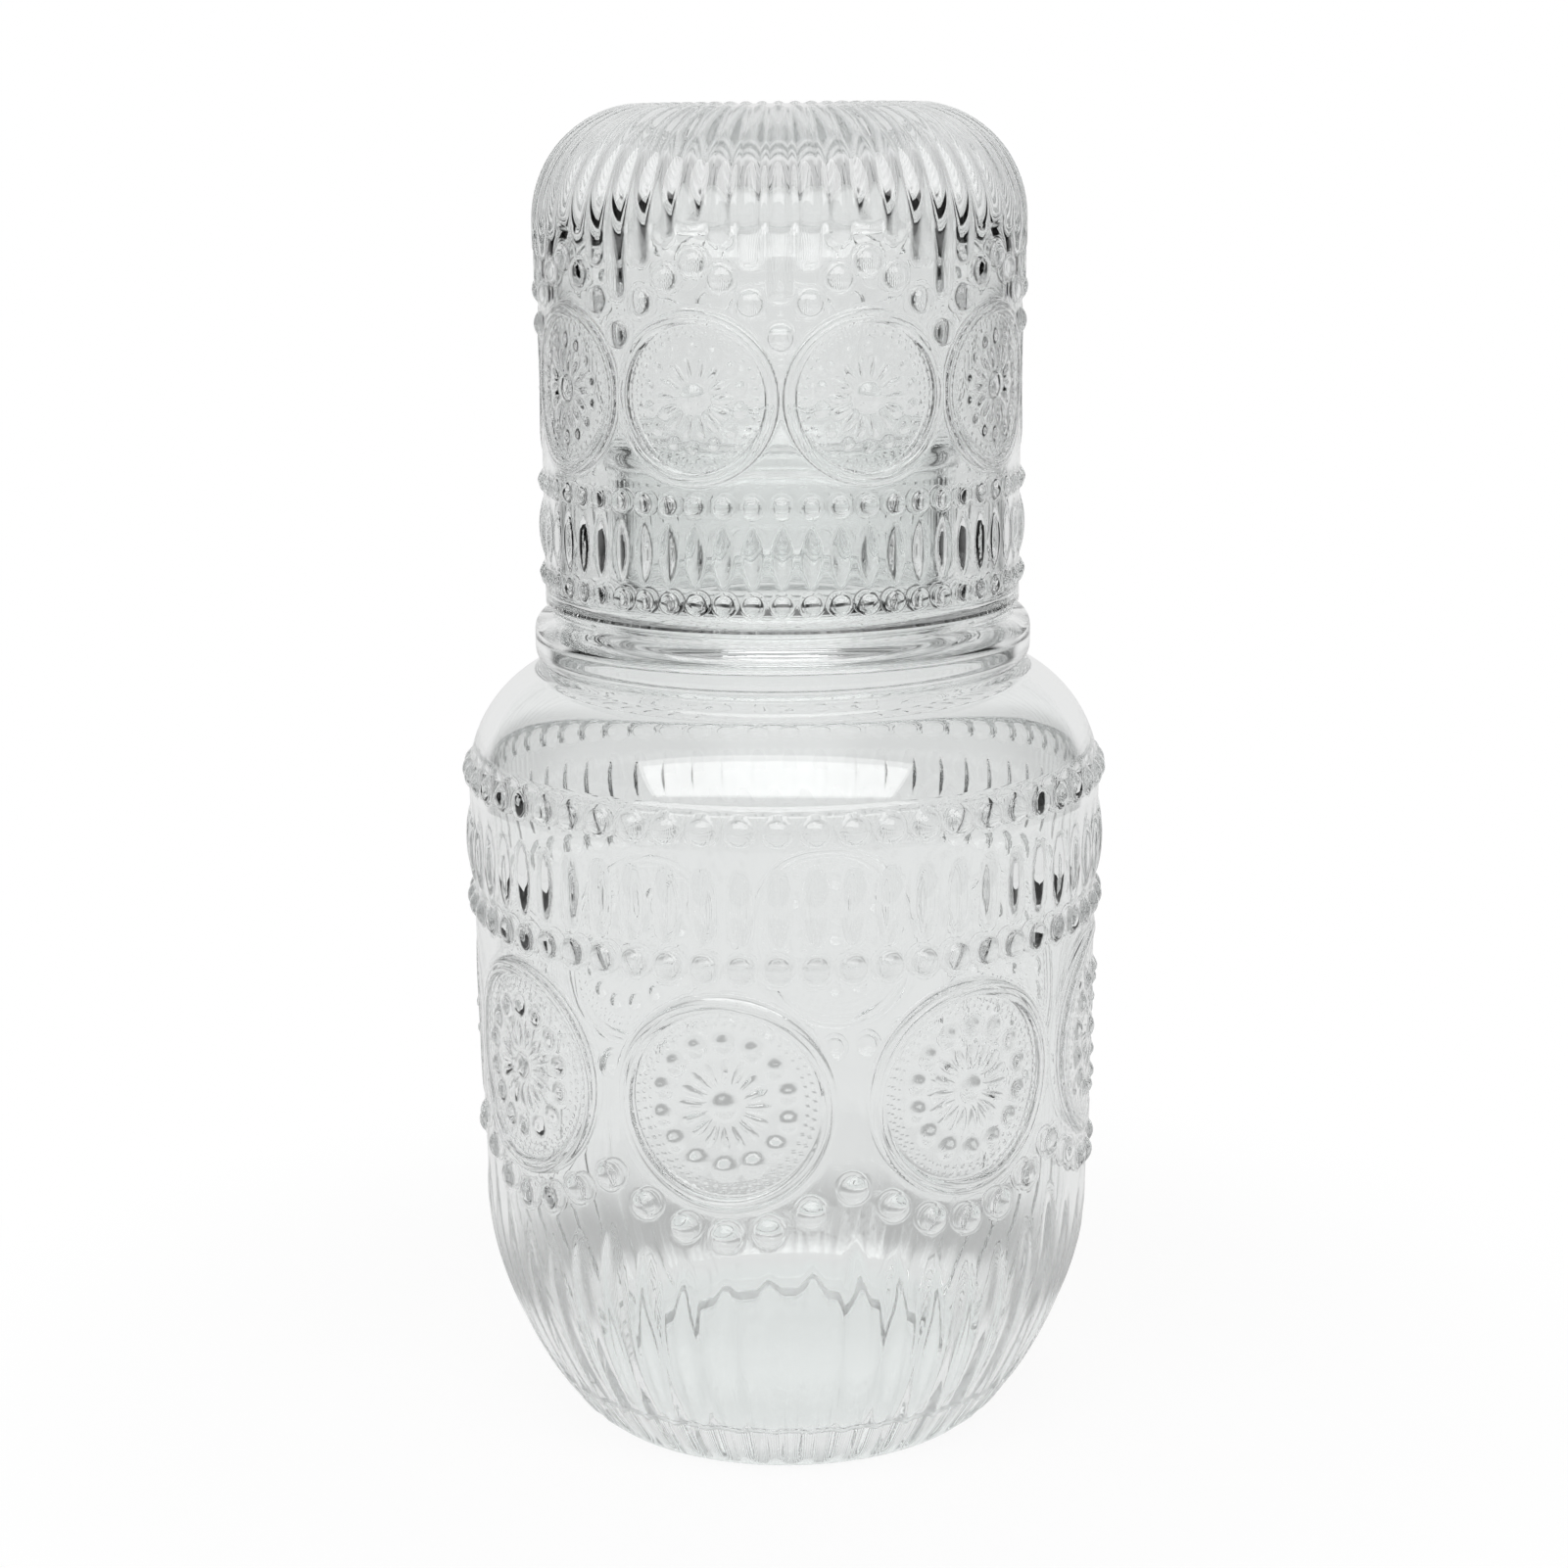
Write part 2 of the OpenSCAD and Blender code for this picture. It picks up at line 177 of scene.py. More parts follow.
def turned_shell(name: str, outline: Outline, columns: int, relief: Array) -> bpy.types.Object:
    """Turns an outline about the axis into one closed skin, with more columns where its pattern is.

    A row of the outline becomes a ring. The rings from the mark "pattern" to the mark "plain" have all the columns
    and are pushed out along their normals by the relief. The others have a quarter of them. Both ends close in a
    point.

    Args:
        name: Name of the object.
        outline: Half section, with its two marks.
        columns: Columns in the patterned part.
        relief: Height of the pattern, one row for each patterned ring and one column for each of its points.

    Returns:
        The object, with its place in its mesh.
    """
    points, normals = outline.rows()
    first, last = outline.marks["pattern"], outline.marks["plain"]
    plain = columns // COARSEN

    def rings(rows: slice, count: int, push: Array | float) -> Array:
        """Turns rows of the outline: radius times sine and minus cosine of the angle, and the height."""
        angle = np.radians(np.arange(count) * FULL_TURN / count)
        radius = points[rows, 0, None] + normals[rows, 0, None] * push
        height = points[rows, 1, None] + normals[rows, 1, None] * push + np.zeros(count)
        return np.stack([radius * np.sin(angle), -radius * np.cos(angle), height], axis=2).reshape(-1, 3)

    def belts(start: int, rows: int, count: int) -> Array:
        """Quads between neighbouring rings, each wound so that it faces out of the glass."""
        ring = start + np.arange(rows - 1)[:, None] * count
        here, after = np.arange(count), (np.arange(count) + 1) % count
        return np.stack([ring + here, ring + after, ring + count + after, ring + count + here], axis=2).reshape(-1, 4)

    def seam(coarse: int, fine: int, rising: bool) -> Array:
        """Triangles between a plain ring and a patterned one: five for each of the plain ring's sides."""
        here = np.arange(plain)
        a, b = coarse + here, coarse + (here + 1) % plain
        f = [fine + (here * COARSEN + k) % columns for k in range(COARSEN + 1)]
        fans = [(a, f[1], f[0]), (a, f[2], f[1]), (a, b, f[2]), (b, f[3], f[2]), (b, f[4], f[3])]
        return np.concatenate([np.stack(fan if rising else fan[::-1], axis=1) for fan in fans])

    vertices = np.concatenate([
        [[0.0, 0.0, points[0, 1]]],
        rings(slice(1, first), plain, 0.0),
        rings(slice(first, last + 1), columns, relief),
        rings(slice(last + 1, len(points) - 1), plain, 0.0),
        [[0.0, 0.0, points[-1, 1]]],
    ]) * MM
    low_rings, fine_rings, high_rings = first - 1, last + 1 - first, len(points) - last - 2
    start_low, start_fine = 1, 1 + low_rings * plain
    start_high = start_fine + fine_rings * columns
    end = len(vertices) - 1
    last_ring = end - plain
    here, after = np.arange(plain), (np.arange(plain) + 1) % plain
    triangles = np.concatenate([
        np.stack([np.zeros(plain, int), start_low + after, start_low + here], axis=1),
        seam(start_fine - plain, start_fine, True),
        seam(start_high, start_high - columns, False),
        np.stack([last_ring + here, last_ring + after, np.full(plain, end)], axis=1),
    ])
    quads = np.concatenate([
        belts(start_low, low_rings, plain),
        belts(start_fine, fine_rings, columns),
        belts(start_high, high_rings, plain),
    ])
    return smooth_object(name, vertices, quads, triangles)


def smooth_object(name: str, vertices: Array, quads: Array, triangles: Array) -> bpy.types.Object:
    """Puts whole arrays of vertices and faces into a smooth-shaded mesh and links its object."""
    mesh = bpy.data.meshes.new(name)
    corners = np.concatenate([quads.ravel(), triangles.ravel()]).astype(np.int32)
    starts = np.concatenate([np.arange(len(quads)) * 4, len(quads) * 4 + np.arange(len(triangles)) * 3])
    mesh.vertices.add(len(vertices))
    mesh.vertices.foreach_set("co", vertices.astype(np.float32).ravel())
    mesh.loops.add(len(corners))
    mesh.loops.foreach_set("vertex_index", corners)
    mesh.polygons.add(len(starts))
    mesh.polygons.foreach_set("loop_start", starts.astype(np.int32))
    mesh.polygons.foreach_set("use_smooth", np.ones(len(starts), bool))
    mesh.update(calc_edges=True)
    mesh.validate()
    made = bpy.data.objects.new(name, mesh)
    bpy.context.collection.objects.link(made)
    return made


class Value:
    """A socket of a shader that Python's own operators work on: each adds one Math node."""

    def __init__(self, sheet: "Sheet", socket: bpy.types.NodeSocket) -> None:
        """Wraps a socket of a node sheet."""
        self.sheet = sheet
        self.socket = socket

    def math(self, operation: str, *others: "Value | float") -> "Value":
        """Adds a Math node on this value and others."""
        return self.sheet.math(operation, self, *others)

    def __add__(self, other: "Value | float") -> "Value":
        """Sum."""
        return self.math("ADD", other)

    def __radd__(self, other: float) -> "Value":
        """Sum, with a number first."""
        return self.math("ADD", other)

    def __sub__(self, other: "Value | float") -> "Value":
        """Difference."""
        return self.math("SUBTRACT", other)

    def __rsub__(self, other: float) -> "Value":
        """Difference, with a number first."""
        return self.sheet.math("SUBTRACT", other, self)

    def __mul__(self, other: "Value | float") -> "Value":
        """Product."""
        return self.math("MULTIPLY", other)

    def __rmul__(self, other: float) -> "Value":
        """Product, with a number first."""
        return self.math("MULTIPLY", other)

    def __truediv__(self, other: "Value | float") -> "Value":
        """Quotient."""
        return self.math("DIVIDE", other)

    def most(self, other: "Value | float") -> "Value":
        """The larger of two."""
        return self.math("MAXIMUM", other)

    def ease(self, low: float, high: float) -> "Value":
        """Smooth step from 0 at low to 1 at high, which may be below low."""
        if high < low:
            return 1 - self.ease(high, low)
        sloped = self.sheet.node(
            "ShaderNodeMapRange",
            {"interpolation_type": "SMOOTHSTEP"},
            {"Value": self, "From Min": low, "From Max": high},
        )
        return Value(self.sheet, sloped.outputs["Result"])


class Sheet:
    """A node tree that is written to by one method, whatever the node."""

    def __init__(self, tree: bpy.types.NodeTree) -> None:
        """Empties a node tree to write on it."""
        tree.nodes.clear()
        self.tree = tree

    def node(self, kind: str, settings: dict | None = None, sockets: dict | None = None) -> bpy.types.Node:
        """Adds a node.

        Args:
            kind: Type of the node.
            settings: Its own settings, which are set first.
            sockets: Values or links of its inputs, by name or number.

        Returns:
            The node.
        """
        made = self.tree.nodes.new(kind)
        for key, setting in (settings or {}).items():
            setattr(made, key, setting)
        for key, given in (sockets or {}).items():
            if isinstance(given, Value):
                given = given.socket
            if isinstance(given, bpy.types.NodeSocket):
                self.tree.links.new(given, made.inputs[key])
            else:
                made.inputs[key].default_value = given
        return made

    def math(self, operation: str, *values: Value | float) -> Value:
        """Adds a Math node on values and numbers."""
        made = self.node("ShaderNodeMath", {"operation": operation}, dict(enumerate(values)))
        return Value(self, made.outputs[0])

    def place(self) -> tuple[Value, Value, Value]:
        """The shaded point in the object's own millimetres: right, back and up."""
        coords = self.node("ShaderNodeTexCoord")
        scaled = self.node(
            "ShaderNodeVectorMath",
            {"operation": "SCALE"},
            {"Vector": coords.outputs["Object"], "Scale": 1 / MM},
        )
        split = self.node("ShaderNodeSeparateXYZ", None, {"Vector": scaled.outputs[0]})
        return tuple(Value(self, split.outputs[axis]) for axis in "XYZ")

    def noise(self, size: float, detail: float, roughness: float = 0.45) -> Value:
        """Soft noise from 0 to 1 on the object's own place, in lumps of a size in millimetres."""
        coords = self.node("ShaderNodeTexCoord")
        made = self.node(
            "ShaderNodeTexNoise",
            {"noise_dimensions": "3D"},
            {"Vector": coords.outputs["Object"], "Scale": 1 / (size * MM), "Detail": detail, "Roughness": roughness},
        )
        return Value(self, made.outputs["Fac"])


@dataclass(frozen=True)
class DotRing:
    """A ring of small round or drawn-out marks in a medallion."""

    count: int
    radius: float
    half_width: float
    half_length: float
    height: float
    share: float = 0.0


@dataclass(frozen=True)
class Garland:
    """A row of beads that swings up or down between two medallions, or stays level."""

    count: int
    medallions: int
    turn: float
    middle_z: float
    swing: tuple[float, float, float]
    bead_r: float

    def places(self, angle: Array) -> tuple[Array, Array]:
        """Gives the signed angle from the nearest bead, and that bead's height, at angles round the axis.

        With s from 0 in the middle of a medallion to 1 between two, the height is its middle's plus the swing's three
        numbers times s, s^2 and s^4.
        """
        offset, column = nearest(angle, self.count, self.turn)
        aside, _ = nearest(column * FULL_TURN / self.count, self.medallions)
        share = np.abs(aside) * 2 * self.medallions / FULL_TURN
        first, second, fourth = self.swing
        return offset, self.middle_z + first * share + second * share**2 + fourth * share**4

    def distance(self, sheet: "Sheet", wall_r: float) -> "Value":
        """Writes the distance from the nearest bead's middle in millimetres, the same way as in places."""
        x, y, z = sheet.place()
        pitch = math.tau / self.count
        cell = (sheet.math("ARCTAN2", x, y * -1.0) - math.radians(self.turn)) / pitch
        column = cell.math("ROUND")
        across = (cell - column) * (pitch * wall_r)
        each = self.count / self.medallions
        group = column / each
        share = (group - group.math("ROUND")).math("ABSOLUTE") * 2.0
        square = share * share
        first, second, fourth = self.swing
        up = z - (share * first + square * second + square * square * fourth + self.middle_z)
        return (across * across + up * up).math("SQRT")


@dataclass(frozen=True)
class Carving:
    """Fine carving, too small for the mesh: ridges and marks in the medallions, and a thin groove round each bead."""

    medallions: int
    turn: float
    wall_r: float
    centre_z: float
    ridges: tuple[float, ...]
    ridge_half_w: float
    ridge_h: float
    dots: tuple[DotRing, ...]
    bands: tuple[Garland, ...]
    groove_half_w: float = 0.5
    groove_depth: float = 0.09

    def height(self, sheet: Sheet) -> Value:
        """Writes the carving's height in millimetres.

        The angle from the nearest medallion's middle times the wall's radius, and the height from it, give a distance
        and a direction. A ridge is 1 - (offset / half width)^2 round its radius, and a groove is the same downwards
        round a bead. A mark is the same in two directions, from the middle of the nearest of its ring's equal steps.
        """
        x, y, z = sheet.place()
        pitch = math.tau / self.medallions
        angle = sheet.math("ARCTAN2", x, y * -1.0) - math.radians(self.turn)
        wrapped = angle - (angle / pitch).math("ROUND") * pitch
        across, up = wrapped * self.wall_r, z - self.centre_z
        distance = (across * across + up * up).math("SQRT")
        direction = sheet.math("ARCTAN2", up, across)
        heights: list[Value] = []
        for radius in self.ridges:
            off = (distance - radius) / self.ridge_half_w
            heights.append((1 - off * off).most(0.0) * self.ridge_h)
        for ring in self.dots:
            step = math.tau / ring.count
            cell = direction / step + ring.share
            aside = (cell - cell.math("ROUND")) * (step * ring.radius / ring.half_width)
            along = (distance - ring.radius) / ring.half_length
            heights.append((1 - aside * aside - along * along).most(0.0) * ring.height)
        for band in self.bands:
            off = (band.distance(sheet, self.wall_r) - band.bead_r) / self.groove_half_w
            heights.append((1 - off * off).most(0.0) * -self.groove_depth)
        return sum(heights[1:], heights[0])


@dataclass(frozen=True)
class PressedGlass:
    """Clear pressed glass, fire polished: faintly wavy, with a cool tint where it is thick."""

    name: str
    carving: Carving
    tint: tuple[float, float, float] = (0.985, 0.995, 0.992)
    thick_tint: tuple[float, float, float] = (0.93, 0.985, 0.97)
    thick_from: float = 7.0
    thick_to: float = 1.0
    ior: float = 1.5
    roughness: float = 0.012
    roughness_shares: tuple[float, float] = (0.6, 0.8)
    wave_size: float = 14.0
    wave_detail: float = 1.0
    wave_h: float = 0.02
    ripple_size: float = 3.0
    ripple_detail: float = 2.0
    ripple_h: float = 0.0015
    depth_tint: tuple[float, float, float] = (0.89, 0.92, 0.915)
    depth_density: float = 3.0

    def material(self) -> bpy.types.Material:
        """Writes the glass: a refracting surface with carving, waves and ripples in its bump, and a tinted depth."""
        made = bpy.data.materials.new(self.name)
        made.use_nodes = True
        sheet = Sheet(made.node_tree)
        _, _, z = sheet.place()
        thick = z.ease(self.thick_from, self.thick_to)
        tint = sheet.node(
            "ShaderNodeMix",
            {"data_type": "RGBA"},
            {"Factor": thick, MIX_A: (*self.tint, 1.0), MIX_B: (*self.thick_tint, 1.0)},
        )
        waves = sheet.noise(self.wave_size, self.wave_detail)
        ripples = sheet.noise(self.ripple_size, self.ripple_detail)
        height = (self.carving.height(sheet) + waves * self.wave_h + ripples * self.ripple_h) * MM
        bump = sheet.node("ShaderNodeBump", None, {"Strength": 1.0, "Distance": 1.0, "Height": height})
        least, swing = self.roughness_shares
        roughness = self.roughness * (least + ripples * swing)
        glass = sheet.node(
            "ShaderNodeBsdfPrincipled",
            None,
            {
                "Base Color": tint.outputs[MIX_RESULT],
                "Roughness": roughness,
                "IOR": self.ior,
                "Transmission Weight": 1.0,
                "Normal": bump.outputs[0],
            },
        )
        depth = sheet.node(
            "ShaderNodeVolumeAbsorption", None, {"Color": (*self.depth_tint, 1.0), "Density": self.depth_density}
        )
        sheet.node("ShaderNodeOutputMaterial", None, {"Surface": glass.outputs[0], "Volume": depth.outputs[0]})
        return made


@dataclass(frozen=True)
class Medallion:
    """A round medallion on a wall: a raised rim, a ring of beads, petals and a boss."""

    radius: float
    rim_w: float
    rim_h: float
    boss_r: float
    boss_h: float
    beads: int
    bead_ring_r: float
    bead_r: float
    bead_h: float
    petals: int
    petal_ring_r: float
    petal_half_w: float
    petal_half_l: float
    petal_h: float

    def relief(self, across: Array, up: Array) -> Array:
        """Height of the medallion at a distance across and up from its middle.

        The rim is a low round ridge. The beads are caps on a circle, each found from the nearest of its equal steps,
        and so are the petals, which are drawn out towards the middle: 1 - (aside / half width)^2 - (along / half
        length)^2 times their height.
        """
        distance, direction = np.hypot(across, up), np.degrees(np.arctan2(up, across))
        off_rim = (distance - self.radius + self.rim_w / 2) / (self.rim_w / 2)
        rim = self.rim_h * np.sqrt(np.maximum(1 - off_rim**2, 0))
        boss = cap(distance, self.boss_r, self.boss_h)
        aside, _ = nearest(direction, self.beads, FULL_TURN / self.beads / 2)
        bead = cap(
            np.hypot(np.radians(aside) * self.bead_ring_r, distance - self.bead_ring_r), self.bead_r, self.bead_h
        )
        turned, _ = nearest(direction, self.petals)
        sideways = np.radians(turned) * distance / self.petal_half_w
        along = (distance - self.petal_ring_r) / self.petal_half_l
        petal = self.petal_h * np.maximum(1 - sideways**2 - along**2, 0)
        return np.maximum.reduce([rim, boss, bead, petal])


@dataclass(frozen=True)
class Band:
    """A band of upright ovals between two rows of beads, in even columns round a wall."""

    columns: int
    turn: float
    row_z: tuple[float, float]
    bead_r: float
    bead_h: float
    oval_z: tuple[float, float]
    oval_half_w: float
    oval_h: float
    oval_tip: float = 1.5

    def relief(self, angle: Array, reach: Array, z: Array) -> Array:
        """Height of the band's pattern.

        A bead is a cap on its row. An oval's half width along its length follows a cap, and across it is a cap again.

        Args:
            angle: Angles round the axis.
            reach: Length of a degree on the wall.
            z: Heights.

        Returns:
            The height above the wall of the highest form at each place.
        """
        across = nearest(angle, self.columns, self.turn)[0] * reach
        beads = [cap(np.hypot(across, z - row), self.bead_r, self.bead_h) for row in self.row_z]
        middle, half = sum(self.oval_z) / 2, (self.oval_z[1] - self.oval_z[0]) / 2
        width = cap(np.abs(z - middle), half, self.oval_half_w)
        return np.maximum.reduce([*beads, cap(across, width, self.oval_h * width / self.oval_half_w)])

    def rows(self, medallions: int) -> tuple[Garland, ...]:
        """The rows of beads as level garlands, for the fine carving."""
        level = (0.0, 0.0, 0.0)
        return tuple(Garland(self.columns, medallions, self.turn, z, level, self.bead_r) for z in self.row_z)


@dataclass
class Carafe:
    """The carafe: foot, fluted base, patterned wall, smooth shoulder, collar, neck and lip in one shell.

    A field that ends in share is a share of the size that it stands beside in its method.
    """

    columns: int = 504
    foot_r: float = 34.4
    foot_bend_r: float = 1.5
    foot_slope: float = 45.0
    foot_ring_r: float = 29.3
    hollow_r: float = 24.2
    hollow_h: float = 1.4
    hollow_rings: int = 7
    belly_r: float = 51.6
    belly_z: float = 42.0
    base_start: float = 0.021
    base_inset_share: float = 0.5
    base_lean_share: float = 0.167
    base_hold_share: float = 0.57
    shoulder_r: float = 52.9
    shoulder_z: float = 110.5
    shoulder_bend_r: float = 21.0
    shoulder_fine_turn: float = 13.0
    collar_r: float = 41.2
    collar_top_z: float = 139.0
    collar_h: float = 9.2
    collar_bend_share: float = 0.35
    collar_turn: float = -60.0
    hollow_bend_r: float = 1.8
    hollow_turn: float = 66.0
    seat_fillet_share: float = 0.9
    neck_r: float = 28.8
    lip_r: float = 30.3
    lip_share: float = 0.4
    lip_run_share: float = 2.6
    lip_turn: float = -50.0
    mouth_z: float = 169.0
    wall_t: float = 3.2
    floor_t: float = 9.0
    floor_inset_share: float = 1.2
    knee_share: float = 0.26
    knee_lean: tuple[float, float] = (0.55, 1.0)
    knee_run: float = 2.2
    floor_handles: tuple[float, float] = (2.4, -2.6)
    medallions: int = 8
    turn: float = -10.8
    medallion_z: float = 68.3
    medallion: Medallion = Medallion(
        radius=18.0, rim_w=2.6, rim_h=0.3, boss_r=2.1, boss_h=0.85,
        beads=14, bead_ring_r=10.3, bead_r=1.55, bead_h=0.85,
        petals=16, petal_ring_r=5.4, petal_half_w=0.75, petal_half_l=2.1, petal_h=0.3,
    )
    band: Band = Band(
        columns=56, turn=11.7, row_z=(90.6, 112.6), bead_r=2.3, bead_h=1.15,
        oval_z=(93.7, 106.9), oval_half_w=1.65, oval_h=0.95,
    )
    garland: Garland = Garland(
        count=48, medallions=8, turn=-10.8, middle_z=46.4, swing=(0.0, 10.7, -2.8), bead_r=2.25
    )
    garland_h: float = 1.15
    flute_gap: float = 6.4
    flute_h: float = 0.5
    flute_share: float = 0.30
    flute_taper: float = 15.0
    flute_power: float = 0.8
    flute_rise_share: float = 0.6
    flute_foot_z: float = 3.0

    def base_curve(self, inset: float) -> Array:
        """Handles of the rounded base's outer curve, drawn inwards by an inset."""
        foot, belly = self.foot_r - self.base_inset_share * inset, self.belly_r - inset
        lean = self.base_lean_share * self.belly_z
        return np.array([
            [foot, inset],
            [foot + lean, inset + lean],
            [belly, self.base_hold_share * self.belly_z],
            [belly, self.belly_z],
        ])

    def wall_r(self, z: Array) -> Array:
        """Radius of the straight wall at a height."""
        share = (z - self.belly_z) / (self.shoulder_z - self.belly_z)
        return self.belly_r + (self.shoulder_r - self.belly_r) * share

    def outline(self) -> Outline:
        """Draws the half section from the middle of the underside over the outside and the inside to the inner floor.

        Every stretch has its own step, which is short where the pattern is fine.
        """
        draw = Outline(0.0, self.hollow_h)
        draw.line(self.hollow_r, self.hollow_h, 6.0)
        rise = ease(np.linspace(0, 1, self.hollow_rings))
        radii = np.linspace(self.hollow_r, self.foot_ring_r, self.hollow_rings)
        draw.add(np.stack([radii, self.hollow_h * (1 - rise)], axis=1))
        bend = self.foot_bend_r
        corner_r = self.foot_r - bend * math.tan(math.radians(self.foot_slope / 2))
        draw.arc((corner_r, bend), bend, -90, self.foot_slope - 90, 0.4)
        draw.mark("pattern")
        draw.curve(self.base_curve(0), self.base_start, 1.0, 2.1)
        band = self.band
        for height, step in (
            (self.medallion_z + self.medallion.radius + MARGIN, 0.72),
            (band.row_z[0] - band.bead_r, 1.0),
            (band.row_z[0] + band.bead_r, 0.5),
            (band.oval_z[0] + band.oval_tip, 0.75),
            (band.oval_z[1] - band.oval_tip, 1.2),
            (band.oval_z[1], 0.75),
            (self.shoulder_z - MARGIN, 0.52),
        ):
            draw.line(float(self.wall_r(height)), height, step)
        bow = (self.shoulder_r - self.shoulder_bend_r, self.shoulder_z)
        collar_foot_r = self.collar_r - self.wall_t / 4
        shoulder_turn = math.degrees(math.acos((collar_foot_r - bow[0]) / self.shoulder_bend_r))
        draw.arc(bow, self.shoulder_bend_r, 0, self.shoulder_fine_turn, 0.6)
        draw.arc(bow, self.shoulder_bend_r, self.shoulder_fine_turn, shoulder_turn, 1.6)
        draw.mark("plain")
        self.draw_collar(draw)
        self.draw_inside(draw, bow)
        return draw

    def draw_collar(self, draw: Outline) -> None:
        """Draws the collar band, its seat, the neck and the lip."""
        bend = self.collar_bend_share * self.collar_h
        low_z = self.collar_top_z - self.collar_h
        draw.arc((self.collar_r - bend, low_z + bend), bend, self.collar_turn, 0, 0.7)
        draw.arc((self.collar_r - bend, self.collar_top_z - bend), bend, 0, 90, 0.7)
        fillet = self.seat_fillet_share * self.wall_t
        draw.arc((self.neck_r + fillet, self.collar_top_z + fillet), fillet, 270, 180, 0.8)
        lip = self.lip_r - self.neck_r + self.lip_share * self.wall_t
        draw.line(self.neck_r, self.mouth_z - self.lip_run_share * lip, PLAIN_STEP)
        draw.arc((self.lip_r - lip, self.mouth_z - lip), lip, self.lip_turn, 90, 0.6)
        mouth = self.neck_r - self.wall_t
        draw.arc((mouth + lip / 2, self.mouth_z - lip / 2), lip / 2, 90, 180, 0.5)

    def draw_inside(self, draw: Outline, bow: tuple[float, float]) -> None:
        """Draws the inside: neck, the hollow behind the collar, shoulder, wall and floor.

        Args:
            draw: Outline that has come down to the mouth.
            bow: Centre of the shoulder's arc, which the inside shares.
        """
        mouth = self.neck_r - self.wall_t
        inner = self.shoulder_bend_r - self.wall_t
        fillet, bend = self.seat_fillet_share * self.wall_t, self.hollow_bend_r
        side, seat_low = self.collar_r - self.wall_t, self.collar_top_z - self.wall_t
        flare = (self.neck_r + fillet, self.collar_top_z + fillet)
        draw.line(mouth, flare[1], PLAIN_STEP)
        draw.arc(flare, fillet + self.wall_t, 180, 270, 0.9)
        draw.arc((side - bend, seat_low - bend), bend, 90, 0, 0.5)
        draw.line(side, self.collar_top_z - self.collar_h, 1.5)
        draw.arc(bow, inner, self.hollow_turn, 0, 1.6)
        draw.line(self.belly_r - self.wall_t, self.belly_z, 3.0)
        draw.curve(self.base_curve(self.wall_t), 1.0, self.knee_share, 1.8)
        floor_r = self.foot_r - self.floor_inset_share * self.floor_t
        knee = draw.points[-1][-1]
        handles = np.array([
            knee,
            knee - np.array(self.knee_lean) * self.knee_run,
            [floor_r + self.floor_handles[0], self.floor_t],
            [floor_r + self.floor_handles[1], self.floor_t],
        ])
        draw.curve(handles, 0.0, 1.0, 0.8)
        draw.line(POLE_R, self.floor_t, PLAIN_STEP)
        draw.line(0.0, self.floor_t, PLAIN_STEP)

    def relief(self, points: Array) -> Array:
        """Height of the whole pattern for rows of the outline.

        Args:
            points: Radius and height of each patterned row.

        Returns:
            One row for each point and one column for each of the columns, the highest of the overlapping forms.
        """
        angle = np.arange(self.columns) * FULL_TURN / self.columns
        radius, z = points[:, :1], points[:, 1:]
        reach = math.pi / 180 * radius
        aside, _ = nearest(angle, self.medallions, self.turn)
        return np.maximum.reduce([
            self.band.relief(angle, reach, z),
            self.medallion.relief(aside * reach, z - self.medallion_z),
            self.hanging(angle, reach, z),
        ])

    def hanging(self, angle: Array, reach: Array, z: Array) -> Array:
        """Beads that hang under the medallions, and below each a pointed flute that runs down to the foot.

        A flute is a low parabola across. Its half width is its share of the step between two flutes, times a power of
        the sine that rises over its taper, and its height eases in below its point and out above the foot.
        """
        offset, bead_z = self.garland.places(angle)
        bead = cap(np.hypot(offset * reach, z - bead_z), self.garland.bead_r, self.garland_h)
        below = bead_z - self.flute_gap - z
        pitch = FULL_TURN / self.garland.count * reach
        point = np.sin(0.5 * np.pi * np.clip(below / self.flute_taper, 0, 1)) ** self.flute_power
        width = self.flute_share * pitch * point
        ridge = np.maximum(1 - (offset * reach / np.maximum(width, TINY)) ** 2, 0)
        fade = ease(below / (self.flute_rise_share * self.flute_taper)) * ease(z / self.flute_foot_z)
        flute = self.flute_h * ridge * fade
        return np.maximum(bead, np.where(below > 0, flute, 0))

    def carving(self) -> Carving:
        """Fine carving: twin ridges, petals and dots in the medallions, and grooves round the beads."""
        return Carving(
            medallions=self.medallions,
            turn=self.turn,
            wall_r=float(self.wall_r(self.medallion_z)),
            centre_z=self.medallion_z,
            ridges=(17.3, 15.9),
            ridge_half_w=0.55,
            ridge_h=0.15,
            dots=(
                DotRing(count=16, radius=5.4, half_width=0.62, half_length=2.1, height=0.15),
                DotRing(count=52, radius=13.2, half_width=0.38, half_length=0.38, height=0.07),
                DotRing(count=60, radius=14.4, half_width=0.38, half_length=0.38, height=0.07, share=0.5),
            ),
            bands=(self.garland, *self.band.rows(self.medallions)),
        )

    def build(self) -> bpy.types.Object:
        """Makes the shell and its glass."""
        outline = self.outline()
        points, _ = outline.rows()
        rows = points[outline.marks["pattern"]:outline.marks["plain"] + 1]
        shell = turned_shell("carafe_shell", outline, self.columns, self.relief(rows))
        shell.data.materials.append(PressedGlass("carafe_glass", self.carving()).material())
        return shell


